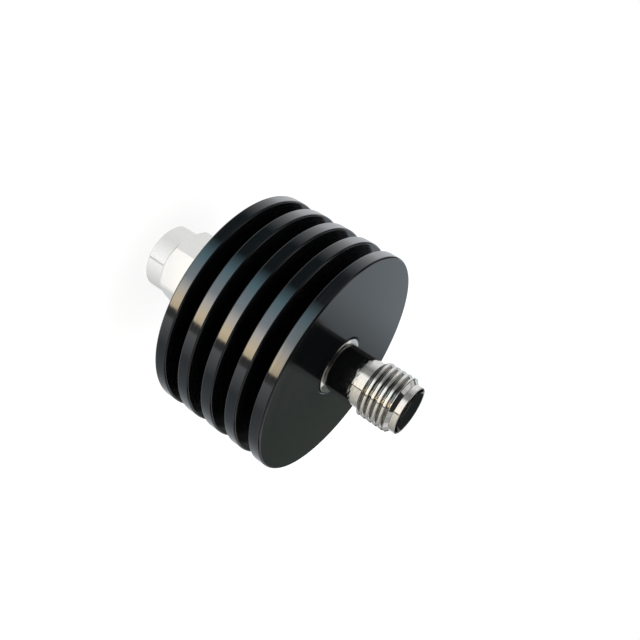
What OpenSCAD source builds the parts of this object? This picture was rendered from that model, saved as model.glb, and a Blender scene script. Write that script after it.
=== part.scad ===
// Fixed coaxial attenuator: a finned heat sink between a threaded jack and a plug with a coupling nut.
// The axis is Z. The nut's end face lies on Z = 0 and the jack points up.

/* [Heat sink] */
// Diameter of the round fins
fin_d = 25.4; // [20:0.1:40]
// Number of fins
fin_count = 5; // [5:1:9]
// Thickness of one fin
fin_t = 1.45; // [1.2:0.05:2.5]
// Open gap between two fins
fin_gap = 1.66; // [1.4:0.02:3]
// Diameter of the core that carries the fins
core_d = 12.6; // [10:0.1:18]
// Bevel on both edges of each fin's rim
fin_bevel = 0.14; // [0.04:0.02:0.4]
// Diameter of the bore that runs through the heat sink
bore_d = 6.5; // [6.2:0.05:7]
// Bevel at both mouths of the bore
bore_bevel = 0.2; // [0.05:0.05:0.3]

/* [Jack] */
// Reach of the jack from the front fin to its rim
jack_reach = 8.8; // [7.5:0.1:12]
// How far the jack body is seated in the heat sink
jack_seat = 3.5; // [2.5:0.1:4.5]
// Height of the bright ring that stands proud of the front fin
ring_h = 0.15; // [0.1:0.05:0.5]
// Diameter of the smooth barrel behind the thread
barrel_d = 5.4; // [5:0.05:5.6]
// Outer diameter of the jack's thread
thread_d = 6.3; // [6:0.05:6.4]
// Length of the thread at its full diameter
thread_l = 3.2; // [2:0.1:4]
// Slope from the barrel up to the thread
thread_run_in = 0.25; // [0.1:0.05:0.5]
// Length of the slope at the thread's front end
thread_lead = 0.4; // [0.3:0.05:0.9]
// Diameter of the plain nose in front of the thread
nose_d = 5.4; // [5.1:0.05:5.6]
// Length of the plain nose
nose_l = 0.7; // [0.3:0.05:1]
// Diameter of the jack's mouth
mouth_d = 4.6; // [4.4:0.02:4.7]
// Depth of the mouth, from the rim to the insulator
mouth_depth = 1.9; // [1.5:0.1:2.5]
// Bevel round the inner edge of the rim
mouth_bevel = 0.2; // [0.05:0.05:0.25]
// Bevel round the outer edge of turned ends
edge_bevel = 0.12; // [0.04:0.02:0.16]

/* [Coupling nut] */
// Length of the coupling nut
nut_l = 6.6; // [6.2:0.1:8]
// Width of the nut across its flats
nut_flats = 8; // [7.9:0.1:9]
// Diameter of the nut's round end
nut_round_d = 7.7; // [7.4:0.1:7.9]
// Length of the nut's round end
nut_round_l = 2.45; // [1.5:0.05:3.5]
// Bevel round the nut's end
nut_bevel = 0.2; // [0.1:0.05:0.3]
// Diameter of the nut's bore, at the crests of its thread
nut_bore_d = 5.7; // [5.6:0.02:5.8]
// Widening of the bore at the nut's mouth, on the radius
nut_mouth = 0.45; // [0.2:0.05:0.5]
// Slope of the bevels on the hexagon, in degrees from the end face
hex_slope = 40; // [25:1:45]

/* [Plug] */
// Depth of the ferrule's end behind the nut's end
ferrule_recess = 3; // [2.6:0.1:3.2]
// Outer diameter of the ferrule that enters the mating jack
ferrule_d = 4.58; // [4.5:0.02:4.7]
// Length of the ferrule
ferrule_l = 1.9; // [1.6:0.05:2]
// Distance from the nut's end to the rear fin
plug_reach = 10.6; // [9.5:0.1:14]
// How far the plug body is seated in the heat sink
plug_seat = 3.5; // [2.5:0.1:4.5]
// Diameter of the collar between nut and heat sink
collar_d = 7.4; // [7.2:0.1:9]
// Gap between the nut's back and the collar
collar_gap = 0.25; // [0.1:0.05:0.6]
// Thickness of the rubber gasket
gasket_t = 0.6; // [0.4:0.05:0.9]
// Distance from the nut's back to the snap ring's groove
snap_back = 0.65; // [0.5:0.05:0.8]
// Thickness of the snap ring
snap_t = 0.4; // [0.25:0.05:0.5]
// Depth of the snap ring's groove in the nut and in the plug body
snap_depth = 0.35; // [0.2:0.05:0.4]
// Opening between the snap ring's ends
snap_open = 0.8; // [0.4:0.1:1.5]

/* [Contacts] */
// Diameter of both insulators
insulator_d = 4.1; // [3.9:0.02:4.2]
// Diameter of the insulators' flanges
flange_d = 4.9; // [4.6:0.05:5.3]
// Thickness of the insulators' flanges
flange_t = 0.8; // [0.5:0.05:1.2]
// Diameter of the inner contacts within the insulators
contact_d = 1.27; // [1.2:0.01:1.4]
// Diameter of the contacts' collars
contact_collar_d = 1.9; // [1.6:0.05:2.4]
// Thickness of the contacts' collars
contact_collar_t = 0.5; // [0.3:0.05:0.7]
// Bore of the jack's socket
socket_d = 0.94; // [0.92:0.01:1]
// Depth of the socket
socket_depth = 2.6; // [2.2:0.1:3.5]
// Width of the socket's four slots
slot_w = 0.12; // [0.08:0.01:0.16]
// Length of the socket's slots
slot_l = 2; // [1.2:0.1:2.1]
// Set-back of the socket behind the insulator's face
socket_recess = 0.06; // [0.02:0.02:0.2]
// Diameter of the plug's pin
pin_d = 0.914; // [0.9:0.002:0.93]
// Reach of the pin from the ferrule's end
pin_reach = 2; // [1.3:0.1:2.5]
// Length of the pin's tapered tip
pin_tip_l = 0.4; // [0.2:0.05:0.6]
// Diameter of the pin's blunt end
pin_tip_d = 0.4; // [0.2:0.02:0.6]

/* [Attenuator chip] */
// Width of the ceramic chip
chip_w = 4.4; // [3.6:0.1:5.2]
// Thickness of the ceramic chip
chip_t = 0.5; // [0.3:0.05:0.6]
// Thickness of the printed films
film_t = 0.05; // [0.03:0.01:0.08]
// Width of the resistor film
film_w = 1.6; // [1.2:0.1:2.2]
// Length of the resistor film
film_l = 2.4; // [1.5:0.1:2.8]
// Width of the end terminals
terminal_w = 1; // [0.6:0.05:1.1]
// Diameter of the air channel round the chip
channel_d = 2.8; // [2.6:0.1:3.2]
// Reach of the forked contacts into the channel
fork_reach = 1.6; // [1.3:0.1:1.8]
// Depth of the slot in the forked contacts
fork_depth = 1; // [0.6:0.1:1.1]

/* [Fits] */
// Radial clearance of pieces that are seated in each other
seat_gap = 0.02; // [0.01:0.005:0.04]
// Running clearance between the nut and what it turns on
run_gap = 0.06; // [0.03:0.01:0.1]
// Clearance of the chip in the forks
fork_gap = 0.03; // [0.01:0.01:0.06]

/* [Hidden] */

$fn = 96;
cut_over = 0.5;

black_anodised = "#1b1d1f";
nickel = "#d4d1ca";
gold = "#d9b65c";
black_peek = "#242425";
silicone = "#b4502f";
spring_bronze = "#b98a4a";
bare_aluminium = "#b9bcbf";
ceramic = "#ece7db";
resistive_ink = "#2c2a2b";
silver_ink = "#c9c8c5";

// Heights along the axis
fin_pitch = fin_t + fin_gap;
stack_l = fin_count * fin_t + (fin_count - 1) * fin_gap;
z_rear = plug_reach;
z_front = z_rear + stack_l;
z_plug_in = z_rear + plug_seat;
z_jack_in = z_front - jack_seat;
z_rim = z_front + jack_reach;
z_mouth = z_rim - mouth_depth;
z_nose = z_rim - nose_l;
z_thread_end = z_nose - thread_lead;
z_thread = z_thread_end - thread_l;
z_ferrule = ferrule_recess;
z_shoulder = z_ferrule + ferrule_l;
z_collar = nut_l + collar_gap;
z_snap = nut_l - snap_back - snap_t / 2;

// Radii of pieces that fit each other
seat_r = bore_d / 2 - seat_gap;
neck_r = nut_bore_d / 2 - run_gap;
snap_in_r = neck_r - snap_depth;
snap_out_r = nut_bore_d / 2 + snap_depth;
insulator_r = insulator_d / 2;
flange_r = flange_d / 2;
contact_r = contact_d / 2;
contact_collar_r = contact_collar_d / 2;
hex_corner_r = nut_flats / sqrt(3);
hex_front_h = (hex_corner_r - nut_round_d / 2) * tan(hex_slope);
hex_back_h = (hex_corner_r - nut_flats / 2) * tan(hex_slope);

// The chip lies between the bottoms of the two forks
fork_start = fork_reach - fork_depth;
z_chip = z_plug_in + fork_start + fork_gap;
chip_l = z_jack_in - fork_start - fork_gap - z_chip;
z_chip_mid = z_chip + chip_l / 2;
terminal_l = (chip_l - film_l) / 2;
chip_top = chip_t / 2;

// A solid of revolution from a profile of [radius, height] points
module turned(profile) {
    rotate_extrude() polygon(profile);
}

// One fin with bevelled edges, its lower face at height 0
module fin() {
    r = fin_d / 2;
    turned([[0, 0], [r - fin_bevel, 0], [r, fin_bevel], [r, fin_t - fin_bevel], [r - fin_bevel, fin_t],
            [0, fin_t]]);
}

// The bore of the heat sink with a bevel at each mouth
module sink_bore() {
    r = bore_d / 2;
    flare_r = r + bore_bevel + cut_over;
    turned([[0, z_rear - cut_over], [flare_r, z_rear - cut_over], [r, z_rear + bore_bevel],
            [r, z_front - bore_bevel], [flare_r, z_front + cut_over], [0, z_front + cut_over]]);
}

module heat_sink() {
    color(black_anodised) difference() {
        union() {
            translate([0, 0, z_rear]) cylinder(d = core_d, h = stack_l);
            for (i = [0 : fin_count - 1]) translate([0, 0, z_rear + i * fin_pitch]) fin();
        }
        sink_bore();
    }
}

// The jack's shell: seat, proud ring, barrel, thread, nose and mouth, turned in one piece
module jack_body() {
    barrel_r = barrel_d / 2;
    thread_r = thread_d / 2;
    nose_r = nose_d / 2;
    mouth_r = mouth_d / 2;
    outside = [
        [seat_r - edge_bevel, z_jack_in], [seat_r, z_jack_in + edge_bevel],
        [seat_r, z_front + ring_h - edge_bevel], [seat_r - edge_bevel, z_front + ring_h],
        [barrel_r, z_front + ring_h], [barrel_r, z_thread - thread_run_in],
        [thread_r, z_thread], [thread_r, z_thread_end], [nose_r, z_nose],
        [nose_r, z_rim - edge_bevel], [nose_r - edge_bevel, z_rim]
    ];
    inside = [
        [mouth_r + mouth_bevel, z_rim], [mouth_r, z_rim - mouth_bevel], [mouth_r, z_mouth],
        [insulator_r + seat_gap, z_mouth], [insulator_r + seat_gap, z_jack_in + flange_t],
        [flange_r + seat_gap, z_jack_in + flange_t], [flange_r + seat_gap, z_jack_in]
    ];
    color(nickel) turned(concat(outside, inside));
}

// An insulator bead from its flanged inner end at 0 to its free face at the given length
module insulator(length) {
    color(black_peek) turned([
        [contact_collar_r + seat_gap, 0], [flange_r, 0], [flange_r, flange_t], [insulator_r, flange_t],
        [insulator_r, length], [contact_r + seat_gap, length], [contact_r + seat_gap, contact_collar_t],
        [contact_collar_r + seat_gap, contact_collar_t]
    ]);
}

module jack_insulator() {
    translate([0, 0, z_jack_in]) insulator(z_mouth - z_jack_in);
}

module plug_insulator() {
    translate([0, 0, z_plug_in]) mirror([0, 0, 1]) insulator(z_plug_in - z_ferrule);
}

// The inner half of a contact, with its collar at 0 and its fork below, up to the given length
module forked_contact(length) {
    slot_h = chip_t + film_t + 2 * fork_gap;
    difference() {
        union() {
            translate([0, 0, -fork_reach]) cylinder(d = contact_d, h = fork_reach + length);
            cylinder(d = contact_collar_d, h = contact_collar_t);
        }
        translate([-contact_d, film_t / 2 - slot_h / 2, -fork_reach - cut_over])
            cube([2 * contact_d, slot_h, fork_depth + cut_over]);
    }
}

// The jack's socket, cut by two crossed slots into four spring fingers
module jack_contact() {
    length = z_mouth - socket_recess - z_jack_in;
    color(gold) translate([0, 0, z_jack_in]) difference() {
        forked_contact(length);
        translate([0, 0, length - socket_depth]) cylinder(d = socket_d, h = socket_depth + cut_over);
        for (turn = [45, 135]) rotate(turn)
            translate([-contact_d, -slot_w / 2, length - slot_l])
                cube([2 * contact_d, slot_w, slot_l + cut_over]);
    }
}

// The plug's pin: a thinner end with a blunt tip, ahead of the part held in the insulator
module plug_pin() {
    pin_r = pin_d / 2;
    z_tip = z_ferrule - pin_reach;
    color(gold) union() {
        translate([0, 0, z_plug_in]) mirror([0, 0, 1]) forked_contact(z_plug_in - z_ferrule);
        turned([[0, z_tip], [pin_tip_d / 2, z_tip], [pin_r, z_tip + pin_tip_l], [pin_r, z_ferrule],
                [0, z_ferrule]]);
    }
}

// The plug's body: ferrule, neck with a groove for the snap ring, collar and seat
module plug_body() {
    groove_h = snap_t / 2 + run_gap;
    outside = [
        [ferrule_d / 2, z_ferrule], [ferrule_d / 2, z_shoulder], [neck_r, z_shoulder],
        [neck_r, z_snap - groove_h], [snap_in_r, z_snap - groove_h], [snap_in_r, z_snap + groove_h],
        [neck_r, z_snap + groove_h], [neck_r, z_collar],
        [collar_d / 2 - edge_bevel, z_collar], [collar_d / 2, z_collar + edge_bevel],
        [collar_d / 2, z_rear], [seat_r, z_rear], [seat_r, z_plug_in - edge_bevel],
        [seat_r - edge_bevel, z_plug_in]
    ];
    inside = [
        [flange_r + seat_gap, z_plug_in], [flange_r + seat_gap, z_plug_in - flange_t],
        [insulator_r + seat_gap, z_plug_in - flange_t], [insulator_r + seat_gap, z_ferrule]
    ];
    color(nickel) turned(concat(outside, inside));
}

// The nut's hexagon, its corners turned down at both ends
module nut_hexagon() {
    round_r = nut_round_d / 2;
    intersection() {
        translate([0, 0, nut_round_l]) cylinder(r = hex_corner_r, h = nut_l - nut_round_l, $fn = 6);
        turned([[0, nut_round_l], [round_r, nut_round_l], [hex_corner_r, nut_round_l + hex_front_h],
                [hex_corner_r, nut_l - hex_back_h], [nut_flats / 2, nut_l], [0, nut_l]]);
    }
}

module coupling_nut() {
    round_r = nut_round_d / 2;
    bore_r = nut_bore_d / 2;
    groove_h = snap_t / 2 + run_gap;
    flare_r = bore_r + nut_mouth + cut_over;
    color(nickel) difference() {
        union() {
            turned([[0, 0], [round_r - nut_bevel, 0], [round_r, nut_bevel], [round_r, nut_round_l],
                    [0, nut_round_l]]);
            nut_hexagon();
        }
        turned([
            [0, -cut_over], [flare_r, -cut_over], [bore_r, nut_mouth], [bore_r, z_snap - groove_h],
            [snap_out_r, z_snap - groove_h], [snap_out_r, z_snap + groove_h], [bore_r, z_snap + groove_h],
            [bore_r, nut_l + cut_over], [0, nut_l + cut_over]
        ]);
    }
}

// The open ring that keeps the nut on the plug body, half in each groove
module snap_ring() {
    color(spring_bronze) translate([0, 0, z_snap - snap_t / 2]) difference() {
        cylinder(r = snap_out_r - run_gap, h = snap_t);
        translate([0, 0, -cut_over]) cylinder(r = snap_in_r + seat_gap, h = snap_t + 2 * cut_over);
        translate([0, -snap_open / 2, -cut_over]) cube([snap_out_r, snap_open, snap_t + 2 * cut_over]);
    }
}

// The rubber ring round the ferrule, against the shoulder of the plug body
module gasket() {
    color(silicone) translate([0, 0, z_shoulder - gasket_t]) difference() {
        cylinder(r = neck_r, h = gasket_t);
        translate([0, 0, -cut_over]) cylinder(r = ferrule_d / 2 + seat_gap, h = gasket_t + 2 * cut_over);
    }
}

// The round block that fills the bore between jack and plug, with the air channel along its axis
module carrier_block() {
    length = z_jack_in - z_plug_in;
    translate([0, 0, z_plug_in]) difference() {
        cylinder(r = seat_r, h = length);
        translate([0, 0, -cut_over]) cylinder(d = channel_d, h = length + 2 * cut_over);
    }
}

// A box over the full width and length of the carrier, from the chip's top face up
module above_chip() {
    translate([-seat_r - cut_over, chip_top, z_plug_in - cut_over])
        cube([2 * (seat_r + cut_over), seat_r + cut_over, z_jack_in - z_plug_in + 2 * cut_over]);
}

// A bar as wide and long as the chip, with room at its sides and ends, between two heights
module chip_room(low, high) {
    translate([-chip_w / 2 - seat_gap, low, z_chip - seat_gap])
        cube([chip_w + 2 * seat_gap, high - low, chip_l + 2 * seat_gap]);
}

// The lower half of the carrier, with a pocket for the chip's edges
module carrier_lower() {
    color(bare_aluminium) difference() {
        carrier_block();
        above_chip();
        chip_room(-chip_top, chip_top + cut_over);
    }
}

// The upper half of the carrier, which presses on the ground films
module carrier_upper() {
    color(bare_aluminium) difference() {
        intersection() {
            carrier_block();
            above_chip();
        }
        chip_room(chip_top - cut_over, chip_top + film_t);
    }
}

module chip_substrate() {
    color(ceramic) translate([-chip_w / 2, -chip_top, z_chip]) cube([chip_w, chip_t, chip_l]);
}

// A film printed on the chip's upper face
module film(x, z, width, length) {
    translate([x, chip_top, z]) cube([width, film_t, length]);
}

module resistor_film() {
    color(resistive_ink) film(-film_w / 2, z_chip_mid - film_l / 2, film_w, film_l);
}

module input_terminal() {
    color(silver_ink) film(-terminal_w / 2, z_chip, terminal_w, terminal_l);
}

module output_terminal() {
    color(silver_ink) film(-terminal_w / 2, z_chip + chip_l - terminal_l, terminal_w, terminal_l);
}

module ground_terminals() {
    ground_w = (chip_w - film_w) / 2;
    color(silver_ink) for (side = [-1, 1])
        film(side * (film_w + ground_w) / 2 - ground_w / 2, z_chip_mid - film_l / 2, ground_w, film_l);
}

heat_sink();
jack_body();
jack_insulator();
jack_contact();
plug_body();
plug_insulator();
plug_pin();
coupling_nut();
snap_ring();
gasket();
carrier_lower();
carrier_upper();
chip_substrate();
resistor_film();
input_terminal();
output_terminal();
ground_terminals();
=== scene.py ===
# %% [markdown]
# A small coaxial attenuator: five black fins turned from one bar of aluminium, with a bright threaded jack at
# one end and a plug with a coupling nut at the other. The solids come in as a fixed frame. This lesson gives
# them their finish, and it swaps the plain turned forms for meshes with true threads and softened edges.

# %% Load the frame
import math

import bpy
import numpy as np
from mathutils import Matrix, Vector


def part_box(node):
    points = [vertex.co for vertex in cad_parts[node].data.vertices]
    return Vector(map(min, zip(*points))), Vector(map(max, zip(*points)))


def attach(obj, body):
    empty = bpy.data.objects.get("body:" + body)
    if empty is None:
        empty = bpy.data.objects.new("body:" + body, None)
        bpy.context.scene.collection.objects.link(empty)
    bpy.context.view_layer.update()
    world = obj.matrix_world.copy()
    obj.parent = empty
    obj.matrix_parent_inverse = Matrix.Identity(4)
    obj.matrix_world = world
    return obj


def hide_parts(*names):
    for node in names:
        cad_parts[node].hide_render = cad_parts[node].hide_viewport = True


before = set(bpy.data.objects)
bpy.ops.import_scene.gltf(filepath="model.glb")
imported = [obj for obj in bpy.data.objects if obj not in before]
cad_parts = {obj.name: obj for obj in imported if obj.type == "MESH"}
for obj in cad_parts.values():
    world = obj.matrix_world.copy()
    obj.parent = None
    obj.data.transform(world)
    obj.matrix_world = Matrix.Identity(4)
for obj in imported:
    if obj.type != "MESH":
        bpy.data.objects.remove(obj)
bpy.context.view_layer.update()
MM = 0.001
scene = bpy.context.scene
scene.view_settings.view_transform = "Standard"
print("nodes:", ", ".join(sorted(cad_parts)))

# %% [markdown]
# The camera stands close to the part, a little above the plane of the fins. The part stands upright on its
# nut, so the camera is rolled about its own line of sight until the jack points down to the right.

# %% Camera
CAMERA_LENS, CAMERA_SENSOR, CAMERA_NEAREST = 45.37, 36.0, 1 * MM
CAMERA_AIM = Vector((-3.01, 0.03, 20.22)) * MM
CAMERA_DISTANCE = 84.56 * MM
CAMERA_AZIMUTH = math.radians(-103.62)
CAMERA_ELEVATION = math.radians(21.53)
CAMERA_ROLL = math.radians(-122.24)


def direction(azimuth, elevation):
    level = math.cos(elevation)
    return Vector((level * math.cos(azimuth), level * math.sin(azimuth), math.sin(elevation)))


away = direction(CAMERA_AZIMUTH, CAMERA_ELEVATION)
camera_data = bpy.data.cameras.new("camera")
camera_data.lens = CAMERA_LENS
camera_data.sensor_width = CAMERA_SENSOR
camera_data.clip_start = CAMERA_NEAREST
camera = bpy.data.objects.new("camera", camera_data)
scene.collection.objects.link(camera)
upright = away.to_track_quat("Z", "Y").to_matrix().to_4x4()
stand = Matrix.Translation(CAMERA_AIM + away * CAMERA_DISTANCE)
camera.matrix_world = stand @ upright @ Matrix.Rotation(-CAMERA_ROLL, 4, "Z")
scene.camera = camera
print("camera at", [round(v / MM, 1) for v in camera.matrix_world.translation], "mm")

# %% [markdown]
# Two helpers serve every material. One turns a colour written as sRGB hex into the linear values that the
# renderer works with. The other adds a shader node, sets its values and links its inputs in one call.

# %% Helpers for nodes


def linear(hex_colour, strength=1.0):
    channels = [int(hex_colour[i:i + 2], 16) / 255 for i in (1, 3, 5)]
    bent = [c / 12.92 if c <= 0.04045 else ((c + 0.055) / 1.055) ** 2.4 for c in channels]
    return (*[c * strength for c in bent], 1.0)


def add_node(tree, kind, inputs=None, **settings):
    node = tree.nodes.new(kind)
    for key, value in settings.items():
        setattr(node, key, value)
    for key, value in (inputs or {}).items():
        if isinstance(value, bpy.types.NodeSocket):
            tree.links.new(value, node.inputs[key])
        else:
            node.inputs[key].default_value = value
    return node


print("middle grey is", round(linear("#808080")[0], 3), "in linear light")

# %% [markdown]
# The world is a plain white studio. What the camera sees directly is white at a strength of one, and so is
# what metal mirrors past the light tent further down. The light that falls on matt surfaces is a little
# lower, and a soft lamp, which metal doesn't mirror, makes up the rest.

# %% White studio
WORLD_LEVEL = 0.85

world = bpy.data.worlds.new("white_studio")
scene.world = world
world.use_nodes = True
tree = world.node_tree
tree.nodes.clear()
ray = add_node(tree, "ShaderNodeLightPath").outputs
mirrored = add_node(tree, "ShaderNodeMath", {0: ray["Is Camera Ray"], 1: ray["Is Glossy Ray"]},
                    operation="MAXIMUM")
passed = add_node(tree, "ShaderNodeMath", {0: mirrored.outputs[0], 1: ray["Is Transmission Ray"]},
                  operation="MAXIMUM")
level = add_node(tree, "ShaderNodeMapRange", {0: passed.outputs[0], 3: WORLD_LEVEL, 4: 1.0})
sky = add_node(tree, "ShaderNodeBackground", {"Color": (1, 1, 1, 1), "Strength": level.outputs[0]})
add_node(tree, "ShaderNodeOutputWorld", {"Surface": sky.outputs[0]})

LAMP_REACH, LAMP_SIZE, LAMP_WATTS = 400 * MM, 300 * MM, 0.35
LAMP_AZIMUTH, LAMP_ELEVATION = math.radians(-150), math.radians(62)
lamp_data = bpy.data.lights.new("soft_lamp", "AREA")
lamp_data.shape = "DISK"
lamp_data.size = LAMP_SIZE
lamp_data.energy = LAMP_WATTS
lamp = bpy.data.objects.new("soft_lamp", lamp_data)
scene.collection.objects.link(lamp)
overhead = direction(LAMP_AZIMUTH, LAMP_ELEVATION)
lamp.location = overhead * LAMP_REACH
lamp.rotation_euler = overhead.to_track_quat("Z", "Y").to_euler()
lamp.visible_glossy = False

# %% [markdown]
# The floor is a round sheet of white board under the nut. The camera sees it lifted to white, so that it
# melts into the background and keeps only a faint soft shadow. Mirror-like surfaces look through it: the
# fins mirror what stands around them a little below the horizon, and a white floor there would turn every
# rim grey.

# %% Floor
FLOOR_RADIUS, FLOOR_SIDES = 150.0, 96
FLOOR_LIFT, LIFTED_BOARD, BOARD = 0.8, "#a6a6a5", "#f4f4f2"

board_mesh = bpy.data.meshes.new("floor_board")
edge = [(FLOOR_RADIUS * MM * math.cos(a), FLOOR_RADIUS * MM * math.sin(a), 0)
        for a in np.linspace(0, 2 * math.pi, FLOOR_SIDES, endpoint=False)]
board_mesh.from_pydata(edge, [], [range(len(edge))])
floor = bpy.data.objects.new("floor_board", board_mesh)
scene.collection.objects.link(floor)
board = bpy.data.materials.new("white_board")
board.use_nodes = True
tree = board.node_tree
tree.nodes.clear()
seen = add_node(tree, "ShaderNodeLightPath").outputs["Is Camera Ray"]
lifted = add_node(tree, "ShaderNodeEmission", {"Strength": FLOOR_LIFT})
shaded = add_node(tree, "ShaderNodeBsdfDiffuse", {"Color": linear(LIFTED_BOARD)})
shown = add_node(tree, "ShaderNodeAddShader", {0: lifted.outputs[0], 1: shaded.outputs[0]})
paper = add_node(tree, "ShaderNodeBsdfDiffuse", {"Color": linear(BOARD)})
either = add_node(tree, "ShaderNodeMixShader", {0: seen, 1: paper.outputs[0], 2: shown.outputs[0]})
add_node(tree, "ShaderNodeOutputMaterial", {"Surface": either.outputs[0]})
board_mesh.materials.append(board)
floor.visible_glossy = False
print("floor board", 2 * FLOOR_RADIUS, "mm across")

# %% [markdown]
# Black anodised rims and bright nickel show little colour of their own: they show what stands around them.
# So the part stands in a light tent, as on a photographer's table, with a tall window, white panels and grey
# cloth in its wall. The camera looks down on the part, so what a standing surface mirrors lies lower than the
# surface itself. Each of the three near bands is named for what it lights, and every band lists its tones
# round the compass.

# %% Tones of the light tent
NEAR, FAR, ROOF = 60, 250, 388
WHITE, WARM_WHITE, COOL_WHITE, CLOTH = "#f8fbff", "#fffaf2", "#eaf6ff", "#cfe0ea"
SKY, SUN, PALE_GREEN = "#b8ecff", "#ffebc7", "#dff0e4"
# Name, lower and upper edge as reach and height in mm, then compass angle, colour and strength of each tone
TENT = [
    # a white panel, dark cloth, the window with its frame, a grey wall and one more panel
    ("tent_beside_fins", (NEAR, -23), (NEAR, 6), [
        (-275, WHITE, 0.3), (-220, WHITE, 1.8), (-173, SKY, 0.1), (-140, SKY, 0.1), (-122, SKY, 2.4),
        (-100, COOL_WHITE, 3.7), (-90, WARM_WHITE, 6.6), (-79, SUN, 8.8), (-71, SUN, 7.4), (-70, WHITE, 0.35),
        (-62, WHITE, 0.4), (-61, WHITE, 1.3), (-35, COOL_WHITE, 0.4), (0, COOL_WHITE, 0.4), (45, WHITE, 0.9),
        (55, WHITE, 0.35)]),
    # white cloth all round, brightest below the window, crossed by the foot of its frame
    ("tent_beside_nut", (NEAR, -60), (NEAR, -23), [
        (-258, WHITE, 1.2), (-235, WHITE, 0.95), (-195, WHITE, 1.0), (-150, WHITE, 0.95),
        (-80, WHITE, 1.27), (-70, WHITE, 1.27), (-69, WHITE, 0.6), (-65, WHITE, 0.6), (-64, WHITE, 1.25),
        (-20, WHITE, 1.0), (40, WHITE, 0.7)]),
    # two white panels with a gap between them, and the upper end of the frame
    ("tent_beside_jack", (NEAR, 6), (NEAR, 26), [
        (-260, WHITE, 1.0), (-210, WHITE, 1.1), (-165, WHITE, 0.3), (-140, WHITE, 0.4), (-126, WHITE, 1.4),
        (-71, WARM_WHITE, 1.5), (-70, WARM_WHITE, 0.25), (-66, WARM_WHITE, 0.25), (-65, WARM_WHITE, 1.0),
        (25, WHITE, 0.4), (47, WHITE, 0.8)]),
    # dark cloth on the camera's side, and behind the part what its front face mirrors
    ("tent_above", (FAR, -10), (FAR, 150), [
        (-215, CLOTH, 0.03), (10, CLOTH, 0.03), (25, WHITE, 0.5), (50, WHITE, 0.5), (58, CLOTH, 0.03),
        (60, PALE_GREEN, 0.17), (73, PALE_GREEN, 0.17), (74, COOL_WHITE, 0.1), (81, COOL_WHITE, 0.62),
        (105, COOL_WHITE, 1.05), (106, WHITE, 0.15), (144, WHITE, 0.15)]),
    # white cloth behind the part, with dark cloth on the camera's side
    ("tent_higher", (FAR, 150), (FAR, 240), [
        (-215, CLOTH, 0.03), (-40, CLOTH, 0.03), (0, WHITE, 0.6), (40, WHITE, 1.0), (110, WHITE, 1.0),
        (140, WHITE, 0.3)]),
    # panels on both sides, which sloping faces such as bevels and thread sides mirror
    ("tent_top", (FAR, 240), (FAR, ROOF), [
        (-240, WHITE, 0.9), (-200, WHITE, 0.8), (-175, WHITE, 0.3), (-150, CLOTH, 0.04), (-75, CLOTH, 0.04),
        (-60, WHITE, 0.45), (0, WHITE, 0.45), (40, WHITE, 0.5), (110, WHITE, 0.5)]),
    # two panels in the roof, and dark cloth over the rest of it
    ("tent_roof_edge", (FAR, ROOF), (150, ROOF), [
        (-240, CLOTH, 0.05), (-215, WHITE, 0.7), (-190, WHITE, 0.7), (-165, CLOTH, 0.05), (-75, CLOTH, 0.05),
        (-55, WHITE, 0.6), (0, WHITE, 0.6), (20, CLOTH, 0.05)]),
    ("tent_roof", (150, ROOF), (1, ROOF), [(-180, WHITE, 0.03)]),
]
print(len(TENT), "bands with", sum(len(band[3]) for band in TENT), "tones")

# %% [markdown]
# Each band becomes a ring of faces whose colour runs smoothly from one tone to the next. Only mirror-like
# surfaces see the tent, so that the light level on everything else stays plain. The wall is much nearer and
# brighter than a real one, so what is mirrored twice, as between the sides of a thread, is dimmed.

# %% Light tent
TENT_STEP = 1.0
ONCE, TWICE, SECOND_MIRRORING = 1.0, 2.0, 0.4

glow = bpy.data.materials.new("tent_glow")
glow.use_nodes = True
tree = glow.node_tree
tree.nodes.clear()
painted = add_node(tree, "ShaderNodeAttribute", attribute_name="glow")
bounces = add_node(tree, "ShaderNodeLightPath").outputs["Ray Depth"]
dimmed = add_node(tree, "ShaderNodeMapRange", {0: bounces, 1: ONCE, 2: TWICE, 3: 1.0, 4: SECOND_MIRRORING})
shine = add_node(tree, "ShaderNodeEmission",
                 {"Color": painted.outputs["Color"], "Strength": dimmed.outputs[0]})
add_node(tree, "ShaderNodeOutputMaterial", {"Surface": shine.outputs[0]})

for name, lower, upper, tones in TENT:
    tones = tones + [(tones[0][0] + 360, *tones[0][1:])]
    compass = np.arange(tones[0][0], tones[-1][0] + TENT_STEP, TENT_STEP)
    listed = np.array([linear(colour, strength) for _, colour, strength in tones])
    tint = np.stack([np.interp(compass, [t[0] for t in tones], channel) for channel in listed.T], 1)
    wall = bpy.data.meshes.new(name)
    points = [(r * MM * math.cos(a), r * MM * math.sin(a), h * MM)
              for a in np.radians(compass) for r, h in (lower, upper)]
    wall.from_pydata(points, [], [(i, i + 2, i + 3, i + 1) for i in range(0, len(points) - 2, 2)])
    paint = wall.color_attributes.new("glow", "FLOAT_COLOR", "POINT")
    paint.data.foreach_set("color", np.repeat(tint, 2, 0).ravel())
    wall.materials.append(glow)
    band = bpy.data.objects.new(name, wall)
    scene.collection.objects.link(band)
    band.visible_camera = band.visible_diffuse = band.visible_shadow = band.visible_transmission = False
    print(name, "with", len(tones) - 1, "tones")

# %% [markdown]
# A finish starts from a few constant values on the shader, and then gets its detail from patterns. These
# helpers set up both. The pattern is read from the place on the object in metres, so that its grain has a
# real size in millimetres. It moves the roughness and the colour a little up and down, and it raises a very
# low relief.

# %% Helpers for finishes
PATTERN_RANGE = (0.3, 0.7)  # nearly all values of a noise pattern lie between these two


def grain_size(millimetres):
    return 1 / (millimetres * MM)


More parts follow.
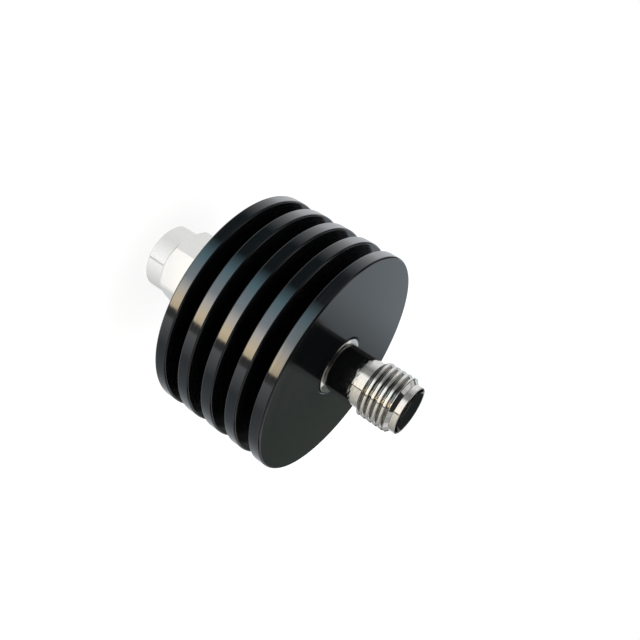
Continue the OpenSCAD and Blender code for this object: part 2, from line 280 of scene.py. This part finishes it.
def start_finish(name, **constants):
    material = bpy.data.materials.new(name)
    material.use_nodes = True
    tree = material.node_tree
    shader = tree.nodes["Principled BSDF"]
    for socket, value in constants.items():
        shader.inputs[socket.replace("_", " ")].default_value = value
    place = add_node(tree, "ShaderNodeTexCoord").outputs["Object"]
    return material, tree, shader, place


def give_detail(tree, shader, pattern, roughness, relief_mm, relief_share, shades):
    low, high = PATTERN_RANGE
    dull = add_node(tree, "ShaderNodeMapRange",
                    {0: pattern, 1: low, 2: high, 3: roughness[0], 4: roughness[1]})
    tree.links.new(dull.outputs[0], shader.inputs["Roughness"])
    bump = add_node(tree, "ShaderNodeBump",
                    {"Height": pattern, "Distance": relief_mm * MM, "Strength": relief_share})
    tree.links.new(bump.outputs[0], shader.inputs["Normal"])
    tint = add_node(tree, "ShaderNodeValToRGB", {0: pattern})
    for stop, position, hex_colour in zip(tint.color_ramp.elements, PATTERN_RANGE, shades):
        stop.position = position
        stop.color = linear(hex_colour)
    tree.links.new(tint.outputs["Color"], shader.inputs["Base Color"])


def turned_place(tree, place, ring_mm, along_mm):
    # Distance from the axis and height along it, so that a pattern runs in rings as tool marks do
    axes = add_node(tree, "ShaderNodeSeparateXYZ", {0: place}).outputs
    flat = add_node(tree, "ShaderNodeCombineXYZ", {0: axes["X"], 1: axes["Y"]}).outputs[0]
    radius = add_node(tree, "ShaderNodeVectorMath", {0: flat}, operation="LENGTH").outputs["Value"]
    scaled = add_node(tree, "ShaderNodeCombineXYZ", {0: radius, 1: axes["Z"]}).outputs[0]
    stretch = (grain_size(ring_mm), grain_size(along_mm), 1)
    return add_node(tree, "ShaderNodeVectorMath", {0: scaled, 1: stretch}, operation="MULTIPLY").outputs[0]


print("finish helpers ready")

# %% [markdown]
# The heat sink is black anodised aluminium: fine turned, then dyed and sealed. The dyed oxide is nearly
# black, with a clear and fairly sharp gloss on top. The fine rings left by the tool stretch each highlight
# across the rings, so the gloss is made anisotropic: its tangent runs round the axis, and the stretch is
# turned a quarter from it.

# %% Black anodised aluminium
TOOL_RING = 0.22  # drawn coarser than the real feed of about 0.05 mm, so that it shows
QUARTER_TURN = 0.25
anodised, tree, shader, place = start_finish("black_anodised_aluminium", IOR=1.6, Anisotropic=0.5,
                                             Anisotropic_Rotation=QUARTER_TURN)
rings = turned_place(tree, place, TOOL_RING, TOOL_RING)
pattern = add_node(tree, "ShaderNodeTexNoise", {"Vector": rings, "Scale": 1.0, "Detail": 3.0},
                   noise_dimensions="2D")
give_detail(tree, shader, pattern.outputs[0], roughness=(0.10, 0.15), relief_mm=0.002, relief_share=0.25,
            shades=("#08090a", "#0c0d0f"))
tangent = add_node(tree, "ShaderNodeTangent", direction_type="RADIAL", axis="Z")
tree.links.new(tangent.outputs[0], shader.inputs["Tangent"])
print("finish:", anodised.name)

# %% [markdown]
# The jack and the plug body are turned brass with bright nickel plate. Nickel is a slightly warm white metal.
# Over tool marks the plate is mirror-like but not perfect: short, shallow marks round the axis break up the
# edge of each reflection, so that the border between light and dark on the barrel looks ragged.

# %% Bright nickel plate on brass
MARK_WIDTH, MARK_LENGTH = 0.2, 0.5  # drawn coarser than real tool marks of about 0.05 mm, so that they show
bright_nickel, tree, shader, place = start_finish("bright_nickel_plated_brass", Metallic=1.0)
stretch = (grain_size(MARK_LENGTH), grain_size(MARK_LENGTH), grain_size(MARK_WIDTH))
marks = add_node(tree, "ShaderNodeVectorMath", {0: place, 1: stretch}, operation="MULTIPLY").outputs[0]
pattern = add_node(tree, "ShaderNodeTexNoise", {"Vector": marks, "Scale": 1.0, "Detail": 1.0})
give_detail(tree, shader, pattern.outputs[0], roughness=(0.05, 0.09), relief_mm=0.008, relief_share=0.7,
            shades=("#cdc9c2", "#d8d5ce"))
print("finish:", bright_nickel.name)

# %% [markdown]
# The coupling nut has the same plate over a tumbled surface, which makes it satin: soft highlights, and
# almost white where a flat mirrors a panel. Its grain runs in all directions, so the pattern is plain noise.

# %% Satin nickel plate on brass
SATIN_GRAIN = 0.16
satin_nickel, tree, shader, place = start_finish("satin_nickel_plated_brass", Metallic=1.0)
pattern = add_node(tree, "ShaderNodeTexNoise",
                   {"Vector": place, "Scale": grain_size(SATIN_GRAIN), "Detail": 4.0})
give_detail(tree, shader, pattern.outputs[0], roughness=(0.11, 0.16), relief_mm=0.002, relief_share=0.15,
            shades=("#dfdcd7", "#e7e4df"))
print("finish:", satin_nickel.name)

# %% [markdown]
# The pieces inside have simple finishes, and each still gets a grain of a real size. The insulators are made
# nearly black as painted shade, so that the mouth of the jack stays dark. Plated and bare metals vary in
# gloss, plastics and rubber vary mostly in roughness, and printed films are grainy.

# %% Finishes of the inner pieces
INNER_RELIEF_SHARE = 0.3
# Metallic, grain in mm, range of the roughness, relief in mm and two shades
INNER = {
    # thin gold over bronze: deep yellow, smooth, soft tool marks
    "gold_plated_bronze": (1.0, 0.2, (0.12, 0.22), 0.002, ("#e0b04a", "#ecc368")),
    # bare spring bronze: brown copper colour with a dull bloom
    "bare_spring_bronze": (1.0, 0.25, (0.26, 0.4), 0.003, ("#b5793c", "#c78c4c")),
    # machined plastic insulators: matt, with a faint mottling, and nearly black as painted shade that keeps
    # the mouth of the jack as dark as the shade deep in its bore
    "insulator_black_painted_shade": (0.0, 0.3, (0.42, 0.55), 0.004, ("#1c1c1d", "#252526")),
    # moulded silicone rubber: matt brick red
    "moulded_red_silicone": (0.0, 0.12, (0.6, 0.75), 0.006, ("#a8452c", "#b54f34")),
    # turned bare aluminium: pale grey, with clear tool marks
    "turned_bare_aluminium": (1.0, 0.15, (0.25, 0.38), 0.003, ("#c9cbcd", "#d6d8da")),
    # fired alumina: ivory white, fine grit
    "fired_alumina_ceramic": (0.0, 0.08, (0.4, 0.55), 0.003, ("#ebe5d8", "#f2ede2")),
    # printed ruthenium ink: charcoal, slightly rough
    "printed_resistor_film": (0.0, 0.1, (0.5, 0.65), 0.004, ("#262526", "#313031")),
    # printed silver ink: pale dull metal with visible grit
    "printed_silver_film": (1.0, 0.1, (0.35, 0.5), 0.004, ("#cbc8c1", "#d8d5ce")),
}
inner = {}
for name, (metallic, grain_mm, roughness, relief_mm, shades) in INNER.items():
    inner[name], tree, shader, place = start_finish(name, Metallic=metallic)
    pattern = add_node(tree, "ShaderNodeTexNoise",
                       {"Vector": place, "Scale": grain_size(grain_mm), "Detail": 3.0})
    give_detail(tree, shader, pattern.outputs[0], roughness, relief_mm, INNER_RELIEF_SHARE, shades)
print("finishes:", ", ".join(inner))

# %% [markdown]
# Nearly every piece here came off a lathe, so one helper builds them all: a loop of rings round the axis,
# each with a radius and a height. A ring's radius may change as it goes round, which is how threads and the
# hexagon are made. A second helper rounds the corners of an outline, as real edges never are quite sharp.

# %% Helpers for turned pieces
ARC_SHARE = 0.3  # the most of a side that the arc at its end takes
ARC_POINTS = (0, 0.25, 0.5, 0.75, 1)
FLAT_START = 1.5  # a flat starts this many arcs from its corner,
FLAT_SHARE = 0.45  # but no further from it than this share of the side


def soften(outline, radius, closed=True):
    # Each corner becomes a small arc, with a point on either side that keeps the flats flat when shaded
    corners = [Vector(p) for p in outline]
    rounded = []
    for i, corner in enumerate(corners):
        if not closed and i in (0, len(corners) - 1):
            rounded.append(tuple(corner))
            continue
        back, on = corners[i - 1] - corner, corners[(i + 1) % len(corners)] - corner
        reach = min(radius, ARC_SHARE * back.length, ARC_SHARE * on.length)
        start, end = corner + back.normalized() * reach, corner + on.normalized() * reach
        rounded.append(tuple(corner + back.normalized() * min(FLAT_START * reach, FLAT_SHARE * back.length)))
        for t in ARC_POINTS:
            rounded.append(tuple(start * (1 - t) ** 2 + corner * 2 * t * (1 - t) + end * t ** 2))
        rounded.append(tuple(corner + on.normalized() * min(FLAT_START * reach, FLAT_SHARE * on.length)))
    return rounded


def turn_piece(name, loop, steps, material, node, body):
    angle = np.linspace(0, 2 * math.pi, steps, endpoint=False)
    spread = [(np.broadcast_to(r, steps), np.broadcast_to(z, steps)) for r, z in loop]
    points = np.array([np.stack([r * np.cos(angle), r * np.sin(angle), z], 1) for r, z in spread])
    index = np.arange(len(loop) * steps).reshape(len(loop), steps)
    above, beside = np.roll(index, -1, 0), np.roll(index, -1, 1)
    quads = np.stack([index, beside, np.roll(above, -1, 1), above], -1).reshape(-1, 4)
    mesh = bpy.data.meshes.new(name)
    mesh.from_pydata(points.reshape(-1, 3) * MM, [], quads.tolist())
    mesh.shade_smooth()
    mesh.materials.append(material)
    piece = bpy.data.objects.new(name, mesh)
    scene.collection.objects.link(piece)
    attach(piece, body)
    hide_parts(node)
    print(name, len(quads) * 2, "triangles, height", round(points[..., 2].min(), 2), "to",
          round(points[..., 2].max(), 2), "mm")


print("a softened square has", len(soften([(0, 0), (1, 0), (1, 1), (0, 1)], 0.1)), "points")

# %% [markdown]
# The heat sink is one turned part: five fins on a core, with a bore along the axis. Its outline is walked
# once, up the outside and down the bore. The fin edges have a small bevel, and the tool leaves a small round
# at the bottom of each gap. Overall sizes are read from the frame, and the rest are in millimetres.

# %% Heat sink
sink_low, sink_high = (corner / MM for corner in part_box("heat_sink"))
FIN_R, Z_REAR, Z_FRONT = sink_high.x, sink_low.z, sink_high.z
FIN_COUNT, FIN_T, FIN_BEVEL, CORE_R = 5, 1.45, 0.14, 6.3
BORE_R, BORE_BEVEL = 3.25, 0.2
SINK_STEPS, SINK_ROUND = 288, 0.06
fin_pitch = (Z_FRONT - Z_REAR - FIN_T) / (FIN_COUNT - 1)

outline = [(BORE_R + BORE_BEVEL, Z_REAR)]
for i in range(FIN_COUNT):
    low = Z_REAR + i * fin_pitch
    high = low + FIN_T
    if i:
        outline.append((CORE_R, low))
    outline += [(FIN_R - FIN_BEVEL, low), (FIN_R, low + FIN_BEVEL),
                (FIN_R, high - FIN_BEVEL), (FIN_R - FIN_BEVEL, high)]
    if i < FIN_COUNT - 1:
        outline.append((CORE_R, high))
outline += [(BORE_R + BORE_BEVEL, Z_FRONT), (BORE_R, Z_FRONT - BORE_BEVEL), (BORE_R, Z_REAR + BORE_BEVEL)]
turn_piece("finned_heat_sink", soften(outline, SINK_ROUND), SINK_STEPS, anodised, "heat_sink", "attenuator")

# %% [markdown]
# A screw thread is a ridge that climbs once round for each pitch. Seen on a ring at some height, the radius
# rises and falls with the angle. Here the sides lean at 30 degrees, the crest is a broad flat and the root
# is narrow. The pitch is that of the common small coaxial thread, 36 turns to the inch.

# %% Thread
PITCH = 25.4 / 36
CREST_SHARE, ROOT_SHARE, SIDE_LEAN = 0.46, 0.08, math.radians(30)
THREAD_DEPTH = (1 - CREST_SHARE - ROOT_SHARE) * PITCH / 2 / math.tan(SIDE_LEAN)
RINGS_PER_PITCH = 20


def thread_height(z, steps):
    turn = np.linspace(0, 1, steps, endpoint=False)
    from_crest = np.abs((z / PITCH - turn + 0.5) % 1 - 0.5) * 2
    ridge = (1 - ROOT_SHARE - from_crest) / (1 - CREST_SHARE - ROOT_SHARE)
    return np.clip(ridge, 0, 1)


def soft_least(a, b, softness):
    return np.minimum(a, b) - softness * np.log1p(np.exp(-np.abs(a - b) / softness))


print("thread pitch", round(PITCH, 3), "mm, depth", round(THREAD_DEPTH, 3), "mm")

# %% [markdown]
# The jack body is one turned part: a seat in the heat sink's bore, a ring that stands just proud of the front
# fin, a smooth barrel, the thread and a plain nose round the mouth. The loop of rings starts at the nose,
# goes down the mouth, along the seat and up the barrel, and the thread closes it.

# %% Jack body
Z_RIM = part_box("jack_body")[1].z / MM
Z_JACK_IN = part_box("jack_body")[0].z / MM
SEAT_R, RING_H, RING_DOME, BARREL_R, EDGE = 3.23, 0.15, 0.08, 2.7, 0.12
THREAD_R, THREAD_L, THREAD_RUN_IN, THREAD_LEAD = 3.15, 3.2, 0.25, 0.4
NOSE_R, NOSE_L, LIP = 2.7, 0.7, 0.04
MOUTH_R, MOUTH_BEVEL, MOUTH_TAPER, MOUTH_DEPTH = 2.3, 0.27, 0.8, 1.9
BEAD_SEAT_R, FLANGE_SEAT_R, FLANGE_T = 2.07, 2.47, 0.8
JACK_STEPS, JACK_ROUND, THREAD_BLEND = 256, 0.05, 0.008
HOLD = 0.03  # one more ring this close to each end of the thread keeps barrel and nose straight when shaded
z_nose = Z_RIM - NOSE_L
z_thread_end = z_nose - THREAD_LEAD
z_thread = z_thread_end - THREAD_L
z_run_in = z_thread - THREAD_RUN_IN
z_ring = Z_FRONT + RING_H
z_mouth = Z_RIM - MOUTH_DEPTH

outline = [(NOSE_R, z_nose), (NOSE_R, z_nose + HOLD), (NOSE_R, Z_RIM - LIP), (NOSE_R - LIP, Z_RIM),
           (MOUTH_R + MOUTH_BEVEL, Z_RIM), (MOUTH_R, Z_RIM - MOUTH_TAPER), (MOUTH_R, z_mouth),
           (BEAD_SEAT_R, z_mouth), (BEAD_SEAT_R, Z_JACK_IN + FLANGE_T),
           (FLANGE_SEAT_R, Z_JACK_IN + FLANGE_T), (FLANGE_SEAT_R, Z_JACK_IN),
           (SEAT_R - EDGE, Z_JACK_IN), (SEAT_R, Z_JACK_IN + EDGE),
           (SEAT_R, z_ring - RING_DOME - LIP), (SEAT_R - LIP, z_ring - RING_DOME),
           (BARREL_R + EDGE, z_ring), (BARREL_R, z_ring),
           (BARREL_R, z_run_in - HOLD), (BARREL_R, z_run_in)]
loop = soften(outline, JACK_ROUND, closed=False)
ring_count = round((z_nose - z_run_in) / PITCH * RINGS_PER_PITCH)
for z in np.linspace(z_run_in, z_nose, ring_count)[1:-1]:
    screw = THREAD_R - THREAD_DEPTH + THREAD_DEPTH * thread_height(z, JACK_STEPS)
    blank = np.interp(z, (z_run_in, z_thread, z_thread_end, z_nose), (BARREL_R, THREAD_R, THREAD_R, NOSE_R))
    loop.append((np.minimum(soft_least(screw, blank, THREAD_BLEND), THREAD_R), z))
turn_piece("threaded_jack_body", loop, JACK_STEPS, bright_nickel, "jack_body", "attenuator")

# %% [markdown]
# The coupling nut starts as a round blank with a turned-down end. Six flats are then milled on it, and the
# corners are turned down at both ends. Each outer ring takes the least of the blank and the hexagon, with a
# soft change from one to the other.

# %% Outside of the coupling nut
NUT_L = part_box("coupling_nut")[1].z / MM
NUT_FLATS, HEX_SLOPE, NUT_ROUND_R, NUT_ROUND_L, NUT_BEVEL = 8.0, math.radians(40), 3.85, 2.45, 0.2
NUT_BORE_R, NUT_MOUTH = 2.85, 0.45
NUT_STEPS, NUT_EDGE, CORNER_SOFT = 360, 0.06, 0.02
FLAT_MIDDLES = np.radians(np.arange(30, 390, 60))
LEAST_COS, FAR_OFF = 0.3, 99  # a flat counts only round its own middle, and elsewhere it lies far off
CONE_LEAST, CONE_RINGS = 0.2, 20  # a slope that is larger than this both ways is cut into this many rings
HEX_START = 0.01  # rings this far over the round end's radius meet the flats
corner_r = NUT_FLATS / math.sqrt(3)
front_h = (corner_r - NUT_ROUND_R) * math.tan(HEX_SLOPE)
back_h = (corner_r - NUT_FLATS / 2) * math.tan(HEX_SLOPE)

around = np.linspace(0, 2 * math.pi, NUT_STEPS, endpoint=False)
flats = []
for middle in FLAT_MIDDLES:
    facing = np.cos(around - middle)
    flats.append(np.where(facing > LEAST_COS, NUT_FLATS / 2 / np.maximum(facing, LEAST_COS), FAR_OFF))
hexagon = flats[0]
for flat in flats[1:]:
    hexagon = soft_least(hexagon, flat, CORNER_SOFT)
blank = soften([(NUT_BORE_R + NUT_MOUTH, 0), (NUT_ROUND_R - NUT_BEVEL, 0), (NUT_ROUND_R, NUT_BEVEL),
                (NUT_ROUND_R, NUT_ROUND_L), (corner_r, NUT_ROUND_L + front_h), (corner_r, NUT_L - back_h),
                (NUT_FLATS / 2, NUT_L), (NUT_BORE_R, NUT_L)], NUT_EDGE, closed=False)
nut_loop = []
for (r, z), (r_next, z_next) in zip(blank, blank[1:]):
    cone = abs(r_next - r) > CONE_LEAST and abs(z_next - z) > CONE_LEAST
    for t in np.linspace(0, 1, CONE_RINGS if cone else 1, endpoint=False):
        r_here, z_here = r + (r_next - r) * t, z + (z_next - z) * t
        if r_here > NUT_ROUND_R + HEX_START:
            r_here = soft_least(hexagon, r_here, CORNER_SOFT)
        nut_loop.append((r_here, z_here))
print("hexagon", NUT_FLATS, "mm across its flats,", round(2 * hexagon.max(), 2), "mm across its corners")

# %% [markdown]
# Inside, from the rear end of the nut, come a plain bore, the groove for the snap ring and the thread. The
# thread runs out before it meets the groove, and the mouth is bevelled so that a jack finds its way in. These
# rings close the loop that the outside began.

# %% Inside of the coupling nut
SNAP_R, SNAP_Z, SNAP_H, GROOVE_ROUND = 3.2, 5.75, 0.26, 0.05
NUT_THREAD_END, NUT_THREAD_SHARE, NUT_RUN_OUT = 4.15, 0.85, 0.3

groove = [(NUT_BORE_R, NUT_L), (NUT_BORE_R, SNAP_Z + SNAP_H), (SNAP_R, SNAP_Z + SNAP_H),
          (SNAP_R, SNAP_Z - SNAP_H), (NUT_BORE_R, SNAP_Z - SNAP_H), (NUT_BORE_R, NUT_THREAD_END)]
nut_loop += soften(groove, GROOVE_ROUND, closed=False)
for z in np.linspace(NUT_THREAD_END, 0, round(NUT_THREAD_END / PITCH * RINGS_PER_PITCH))[1:-1]:
    run_out = min(1, (NUT_THREAD_END - z) / NUT_RUN_OUT)
    cut = THREAD_DEPTH * NUT_THREAD_SHARE * thread_height(z, NUT_STEPS) * run_out
    nut_loop.append((np.maximum(NUT_BORE_R + cut, NUT_BORE_R + NUT_MOUTH - z), z))
turn_piece("hexagon_coupling_nut", nut_loop, NUT_STEPS, satin_nickel, "coupling_nut", "nut")

# %% [markdown]
# The plug body carries the nut: a thin ferrule, a neck with the inner half of the snap ring's groove, a
# collar against the heat sink and a seat in its bore. The rubber ring lies round the ferrule, and its edges
# are well rounded.

# %% Plug body and gasket
Z_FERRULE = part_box("plug_body")[0].z / MM
Z_PLUG_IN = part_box("plug_body")[1].z / MM
gasket_low, gasket_high = (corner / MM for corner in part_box("gasket"))
FERRULE_R, NECK_R, COLLAR_R, Z_COLLAR, SNAP_IN_R = 2.29, 2.79, 3.7, 6.85, 2.44
PLUG_STEPS, PLUG_ROUND = 192, 0.04
RUBBER_STEPS, RUBBER_ROUND, RUBBER_GAP = 128, 0.15, 0.02

outline = [(BEAD_SEAT_R, Z_FERRULE), (FERRULE_R, Z_FERRULE), (FERRULE_R, gasket_high.z),
           (NECK_R, gasket_high.z), (NECK_R, SNAP_Z - SNAP_H), (SNAP_IN_R, SNAP_Z - SNAP_H),
           (SNAP_IN_R, SNAP_Z + SNAP_H), (NECK_R, SNAP_Z + SNAP_H), (NECK_R, Z_COLLAR),
           (COLLAR_R - EDGE, Z_COLLAR), (COLLAR_R, Z_COLLAR + EDGE), (COLLAR_R, Z_REAR),
           (SEAT_R, Z_REAR), (SEAT_R, Z_PLUG_IN - EDGE), (SEAT_R - EDGE, Z_PLUG_IN),
           (FLANGE_SEAT_R, Z_PLUG_IN), (FLANGE_SEAT_R, Z_PLUG_IN - FLANGE_T),
           (BEAD_SEAT_R, Z_PLUG_IN - FLANGE_T)]
turn_piece("turned_plug_body", soften(outline, PLUG_ROUND), PLUG_STEPS, bright_nickel, "plug_body",
           "attenuator")
rubber = [(FERRULE_R + RUBBER_GAP, gasket_low.z), (NECK_R, gasket_low.z), (NECK_R, gasket_high.z),
          (FERRULE_R + RUBBER_GAP, gasket_high.z)]
turn_piece("rubber_gasket", soften(rubber, RUBBER_ROUND), RUBBER_STEPS, inner["moulded_red_silicone"],
           "gasket", "attenuator")

# %% [markdown]
# The remaining pieces have the right shape already, so they stay as they are and only change their finish:
# the insulators, the forked gold contacts, the snap ring, and the carrier with the ceramic chip in the bore.

# %% Finishes on the pieces that stay
CARRIED_OVER = {
    # the insulators take the near black that paints shade into the mouth of the jack
    "jack_insulator": "insulator_black_painted_shade", "plug_insulator": "insulator_black_painted_shade",
    "jack_contact": "gold_plated_bronze", "plug_pin": "gold_plated_bronze", "snap_ring": "bare_spring_bronze",
    "carrier_lower": "turned_bare_aluminium", "carrier_upper": "turned_bare_aluminium",
    "chip_substrate": "fired_alumina_ceramic", "resistor_film": "printed_resistor_film",
    "input_terminal": "printed_silver_film", "output_terminal": "printed_silver_film",
    "ground_terminals": "printed_silver_film",
}
for node, finish in CARRIED_OVER.items():
    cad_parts[node].data.materials.clear()
    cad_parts[node].data.materials.append(inner[finish])
print(len(CARRIED_OVER), "pieces carried over with new finishes")
